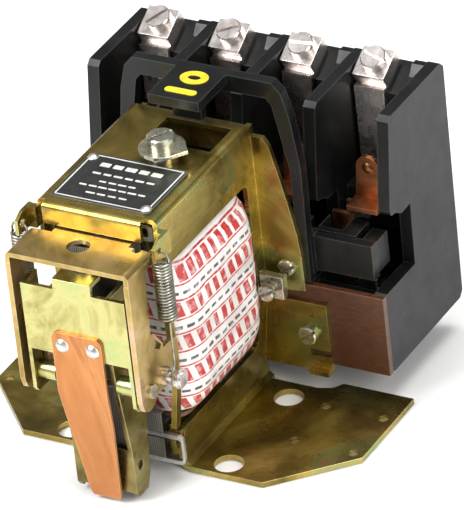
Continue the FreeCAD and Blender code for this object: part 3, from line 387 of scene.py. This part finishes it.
# ------------------------------------------------------------------ return springs
WIRE_SIDES, WIRE_RADIUS = 10, 0.42 * MM
COIL_RADIUS, COIL_PITCH, COIL_LOW = 2.8 * MM, 1.12 * MM, 70.0 * MM
COIL_TURNS, STEPS_PER_TURN = 19, 20
HOOK_RADIUS, HOOK_START, HOOK_SWEEP, HOOK_STEPS = 2.35 * MM, 150.0, 210.0, 12
LOOP_LIFT, LOOP_START, LOOP_SWEEP, LOOP_STEPS = 1.2 * MM, -24.0, 300.0, 20
LEG_X, HOOK_Y = 0.4 * MM, -0.4 * MM  # the leg and the hook, from the axis of the coils
LEG_FOOT, LEG_HEAD = 5.6 * MM, 1.6 * MM  # ends of the leg, above the pin and below the coils
LEAD_X, LEAD_Z = 1.6 * MM, 0.7 * MM  # where the leg turns out towards the first coil


def wire_tube(bm, points):
    """A closed tube of wire along points, with flat ends."""
    rings, ahead = [], None
    for i, p in enumerate(points):
        back, fore = points[max(i - 1, 0)], points[min(i + 1, len(points) - 1)]
        along = (fore - back).normalized()
        if ahead is None:
            ahead = along.orthogonal().normalized()
        else:
            ahead = (ahead - along * ahead.dot(along)).normalized()
        side = along.cross(ahead)
        turns = [2.0 * math.pi * k / WIRE_SIDES for k in range(WIRE_SIDES)]
        rings.append([bm.verts.new(p + (ahead * math.cos(t) + side * math.sin(t)) * WIRE_RADIUS)
                      for t in turns])
    for low, high in zip(rings, rings[1:]):
        for k in range(WIRE_SIDES):
            n = (k + 1) % WIRE_SIDES
            bm.faces.new((low[k], low[n], high[n], high[k]))
    bm.faces.new(list(reversed(rings[0])))
    bm.faces.new(rings[-1])
    for face in bm.faces:
        face.smooth = True


def spring_line(lowest, highest, side):
    """The run of one return spring: hook round the pin, leg, close coils, loop in the frame ear."""
    axis = Vector((side * (highest.x - COIL_RADIUS - WIRE_RADIUS),
                   (lowest.y + highest.y) / 2.0, 0.0))
    pin_z = lowest.z + HOOK_RADIUS + WIRE_RADIUS
    loop_z = COIL_LOW + COIL_TURNS * COIL_PITCH + LOOP_LIFT
    points = [(LEG_X, HOOK_Y - math.cos(t) * HOOK_RADIUS, pin_z + math.sin(t) * HOOK_RADIUS)
              for t in arc(HOOK_START, HOOK_SWEEP, HOOK_STEPS)]
    points += [(LEG_X, 0.0, pin_z + LEG_FOOT), (LEG_X, 0.0, COIL_LOW - LEG_HEAD),
               (LEAD_X, 0.0, COIL_LOW - LEAD_Z)]
    for k in range(COIL_TURNS * STEPS_PER_TURN + 1):
        t = 2.0 * math.pi * k / STEPS_PER_TURN
        points.append((math.cos(t) * COIL_RADIUS, math.sin(t) * COIL_RADIUS,
                       COIL_LOW + COIL_PITCH * k / STEPS_PER_TURN))
    points += [(math.cos(t) * COIL_RADIUS, 0.0, loop_z + math.sin(t) * COIL_RADIUS)
               for t in arc(LOOP_START, LOOP_SWEEP, LOOP_STEPS)]
    return [Vector((x * side, y, z)) + axis for x, y, z in points]


low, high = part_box("return_springs")
springs = bmesh.new()
for side in (1.0, -1.0):
    wire_tube(springs, spring_line(low, high, side))
bmesh.ops.recalc_face_normals(springs, faces=springs.faces)
placed("spring_wires", from_bmesh("spring_wires", springs), "springs", "spring_steel",
       "return_springs")

# ------------------------------------------------------------------ coil wrapping
AROUND, LEVELS = 220, 110  # faces round the coil and up it
PRINT_ROW, PRINT_CELL = 12.4 * MM, 6.2 * MM  # size of 1 in V and of 1 in U
END_HALF_X, END_DROP_Y = 17.9 * MM, 2.4 * MM  # the wrap is narrower at its two ends
END_ROUND_MM, ROUND_GAIN_MM = 8.5, 2.0  # corner radius at the ends, and what the middle adds
TAPE_WIDTH, TAPE_STEP, TAPE_WAVE, TAPE_LEAN = 11.0 * MM, 0.35, 0.16, 0.1
CREASE_SCALE, CREASE_SHIFT, CREASE_GAIN, CREASE_LIMIT = 70.0, Vector((3.0, 1.0, 0.0)), 0.45, 0.6
PUFF_SCALE, PUFF, DEEPEST = 50.0, 0.5, -0.3 * MM
INNER_X, INNER_Y = 0.86, 0.88  # the wrap's inner wall, as a share of its outer one


def coil_section(half_x, front, rear, radius):
    """Points round a rectangle with round corners, evenly spaced, and its length round."""
    corners = [(half_x - radius, rear - radius, 0.0), (-half_x + radius, rear - radius, 90.0),
               (-half_x + radius, front + radius, 180.0), (half_x - radius, front + radius, 270.0)]
    outline = [Vector((cx + radius * math.cos(t), cy + radius * math.sin(t)))
               for cx, cy, start in corners for t in arc(start, 90.0, 8)]
    outline.append(outline[0].copy())
    lengths = [0.0]
    for p, q in zip(outline, outline[1:]):
        lengths.append(lengths[-1] + (q - p).length)
    total, points, seg = lengths[-1], [], 0
    for k in range(AROUND):
        want = total * k / AROUND
        while lengths[seg + 1] < want:
            seg += 1
        share = (want - lengths[seg]) / (lengths[seg + 1] - lengths[seg])
        points.append(outline[seg].lerp(outline[seg + 1], share))
    return points, total


def tape_relief(at, rise, k):
    """How far the tape stands out at a point: the step of its turn, creases and slack."""
    wave = TAPE_WAVE * math.sin(2.0 * math.pi * k / AROUND)
    turn = rise / TAPE_WIDTH + wave + TAPE_LEAN * k / AROUND
    step = (turn - math.floor(turn)) * TAPE_STEP * MM
    fold = noise.ridged_multi_fractal(at * CREASE_SCALE + CREASE_SHIFT, 0.9, 2.1, 3, 1.0, 2.0)
    crease = min(max(0.0, fold - 1.0) * CREASE_GAIN, CREASE_LIMIT) * MM
    puff = noise.noise(at * PUFF_SCALE) * PUFF * MM
    return max(step + crease + puff, DEEPEST)


def tape_wrap():
    """Cloth tape wound over the coil: full in the middle, creased, with a step at each turn."""
    low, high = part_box("coil_tape")
    tall = high.z - low.z
    mid_y, deep = (low.y + high.y) / 2.0, (high.y - low.y) / 2.0
    bm = bmesh.new()
    uv = bm.loops.layers.uv.new("tape")
    rings = []
    for j in range(LEVELS + 1):
        t = j / LEVELS
        z = low.z + tall * t
        swell = 1.0 - abs(2.0 * t - 1.0) ** 4.0
        half_x = END_HALF_X + (high.x - END_HALF_X) * swell ** 0.6
        half_y = deep - END_DROP_Y * (1.0 - swell)
        radius = (END_ROUND_MM + ROUND_GAIN_MM * swell) * MM
        points, total = coil_section(half_x, mid_y - half_y, mid_y + half_y, radius)
        ring = []
        for k, p in enumerate(points):
            at = Vector((p.x, p.y, z))
            out = Vector((p.x, p.y - mid_y, 0.0)).normalized()
            ring.append(bm.verts.new(at + out * tape_relief(at, z - low.z, k)))
        rings.append(ring)
    for j in range(LEVELS):
        for k in range(AROUND):
            n = (k + 1) % AROUND
            face = bm.faces.new((rings[j][k], rings[j][n], rings[j + 1][n], rings[j + 1][k]))
            face.smooth = True
            spots = ((k, j), (k + 1, j), (k + 1, j + 1), (k, j + 1))
            for loop, (ku, jv) in zip(face.loops, spots):
                loop[uv].uv = (total * ku / AROUND / PRINT_CELL, tall * jv / LEVELS / PRINT_ROW)
    foot, head = [
        [bm.verts.new((v.co.x * INNER_X, mid_y + (v.co.y - mid_y) * INNER_Y, v.co.z)) for v in ring]
        for ring in (rings[0], rings[-1])]
    for k in range(AROUND):
        n = (k + 1) % AROUND
        bm.faces.new((rings[0][n], rings[0][k], foot[k], foot[n]))
        bm.faces.new((rings[-1][k], rings[-1][n], head[n], head[k]))
        bm.faces.new((foot[n], foot[k], head[k], head[n]))
    bmesh.ops.recalc_face_normals(bm, faces=bm.faces)
    return from_bmesh("tape_wrap", bm)


placed("tape_wrap", tape_wrap(), "base", "tape_white", "coil_tape")

# ------------------------------------------------------------------ nameplate print
PRINT_SINK, PRINT_LIFT = 0.05 * MM, 0.06 * MM  # how far the print goes into the plate and above it
BORDER_MARGIN, BORDER_HALF, BORDER_ROUND, BAR_ROUND = 1.2 * MM, 0.25 * MM, 0.1 * MM, 0.3 * MM
PRINT_ROWS = (  # height up the half plate, share of its width, bar height in mm, number of bars
    (0.58, 0.66, 2.2, 5), (0.20, 0.66, 1.0, 6), (-0.10, 0.40, 0.8, 4), (-0.34, 0.70, 0.8, 7),
    (-0.62, 0.44, 0.8, 4))


def raised_bar(bm, centre, half, z0, z1, rounding):
    """A thin block with round corners, as printed or etched relief."""
    radius = min(rounding, half[0] * 0.9, half[1] * 0.9)
    outline = [(centre[0] + sx * (half[0] - radius) + radius * math.cos(t),
                centre[1] + sy * (half[1] - radius) + radius * math.sin(t))
               for sx, sy, start in ((1, 1, 0.0), (-1, 1, 90.0), (-1, -1, 180.0), (1, -1, 270.0))
               for t in arc(start, 90.0, 4)]
    under = [bm.verts.new((x, y, z0)) for x, y in outline]
    over = [bm.verts.new((x, y, z1)) for x, y in outline]
    for k in range(len(outline)):
        n = (k + 1) % len(outline)
        bm.faces.new((under[k], under[n], over[n], over[k]))
    bm.faces.new(over)
    bm.faces.new(list(reversed(under)))


def nameplate_print():
    """A border line and rows of plain bars on the nameplate."""
    low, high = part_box("nameplate")
    bm = bmesh.new()
    z0, z1 = high.z - PRINT_SINK, high.z + PRINT_LIFT
    cx, cy = (low.x + high.x) / 2.0, (low.y + high.y) / 2.0
    hx, hy = (high.x - low.x) / 2.0, (high.y - low.y) / 2.0
    border_x, border_y = hx - BORDER_MARGIN, hy - BORDER_MARGIN
    for s in (1.0, -1.0):
        raised_bar(bm, (cx, cy + s * border_y), (border_x, BORDER_HALF), z0, z1, BORDER_ROUND)
        raised_bar(bm, (cx + s * border_x, cy), (BORDER_HALF, border_y), z0, z1, BORDER_ROUND)
    for rise, reach, tall, count in PRINT_ROWS:
        width = 2.0 * hx * reach
        for k in range(count):
            share = 0.70 + 0.2 * random.random()
            centre = (cx - width / 2.0 + width * (k + 0.5) / count, cy + rise * hy)
            half = (width / count * share / 2.0, tall * MM / 2.0)
            raised_bar(bm, centre, half, z0, z1, BAR_ROUND)
    return from_bmesh("nameplate_print", bm)


placed("nameplate_print", nameplate_print(), "base", "rivet_aluminium", finish="plate_print")

# ------------------------------------------------------------------ floor, light and camera
FLOOR_GAP, FLOOR_HALF = 0.2 * MM, 6.0
SKY_STRENGTH = 0.75
SKY_LEVELS = ((0.0, 0.75), (0.25, 0.42), (0.5, 0.20), (0.75, 0.55), (1.0, 1.0))
SOFTBOXES = (  # name, place from the middle of the part, size, power in watts
    ("key", (-0.55, -0.75, 0.85), (0.6, 0.6), 16.0),
    ("fill", (0.9, -0.35, 0.45), (0.5, 0.7), 6.0),
    ("top", (0.1, 0.25, 1.1), (0.8, 0.5), 9.0))
AZIMUTH, ELEVATION, ROLL = math.radians(31.98), math.radians(31.75), math.radians(6.53)
CAMERA_AT, SENSOR_MM, LENS_MM, CLIP_END = (0.9788, -1.52485, 1.1818), 36.0, 508.6, 20.0

scene = bpy.context.scene
ground = bmesh.new()
bmesh.ops.create_grid(ground, x_segments=8, y_segments=8, size=FLOOR_HALF)
floor_mesh = from_bmesh("floor", ground)
floor = bpy.data.objects.new("floor", floor_mesh)
floor.location = (0.0, 0.0, cad_box[0][2] - FLOOR_GAP)
scene.collection.objects.link(floor)
paper = Finish("floor_paper")
paper_links = paper.tree.links
paper_links.new(paper.ramp(paper.noise(3.0), [(0.0, "f2f2f1"), (1.0, "f6f6f5")]),
                paper.shader.inputs["Base Color"])
paper_links.new(paper.spread(paper.noise(40.0), 0.7, 0.8), paper.shader.inputs["Roughness"])
floor_mesh.materials.append(paper.mat)

world = bpy.data.worlds.new("studio")
scene.world = world
world.use_nodes = True
sky = world.node_tree
back = sky.nodes["Background"]
direction = sky.nodes.new("ShaderNodeTexCoord").outputs["Generated"]
split = sky.nodes.new("ShaderNodeSeparateXYZ")
sky.links.new(direction, split.inputs[0])
fade = sky.nodes.new("ShaderNodeValToRGB")
stops = fade.color_ramp.elements
while len(stops) < len(SKY_LEVELS):
    stops.new(0.5)
for stop, (at, level) in zip(stops, SKY_LEVELS):
    stop.position = at
    stop.color = (level, level, level, 1.0)
sky.links.new(split.outputs["Z"], fade.inputs["Fac"])
sky.links.new(fade.outputs["Color"], back.inputs["Color"])
back.inputs["Strength"].default_value = SKY_STRENGTH

middle = Vector([(a + b) / 2.0 for a, b in zip(*cad_box)])
for name, offset, size, power in SOFTBOXES:
    data = bpy.data.lights.new(name, "AREA")
    data.shape = "RECTANGLE"
    data.size, data.size_y = size
    data.energy = power
    lamp = bpy.data.objects.new(name, data)
    lamp.location = middle + Vector(offset)
    lamp.rotation_euler = (middle - lamp.location).to_track_quat("-Z", "Y").to_euler()
    scene.collection.objects.link(lamp)

right = Vector((math.cos(AZIMUTH), math.sin(AZIMUTH), 0.0))
backward = Vector((math.sin(AZIMUTH) * math.cos(ELEVATION),
                   -math.cos(AZIMUTH) * math.cos(ELEVATION), math.sin(ELEVATION)))
up = backward.cross(right)
turned_right = math.cos(ROLL) * right - math.sin(ROLL) * up
turned_up = math.sin(ROLL) * right + math.cos(ROLL) * up
axes = Matrix((turned_right, turned_up, backward)).transposed().to_4x4()
camera_data = bpy.data.cameras.new("camera")
camera_data.sensor_fit = "HORIZONTAL"
camera_data.sensor_width = SENSOR_MM
camera_data.lens = LENS_MM
camera_data.clip_end = CLIP_END
camera = bpy.data.objects.new("camera", camera_data)
camera.matrix_world = Matrix.Translation(CAMERA_AT) @ axes
scene.collection.objects.link(camera)
scene.camera = camera
scene.view_settings.view_transform = "Standard"
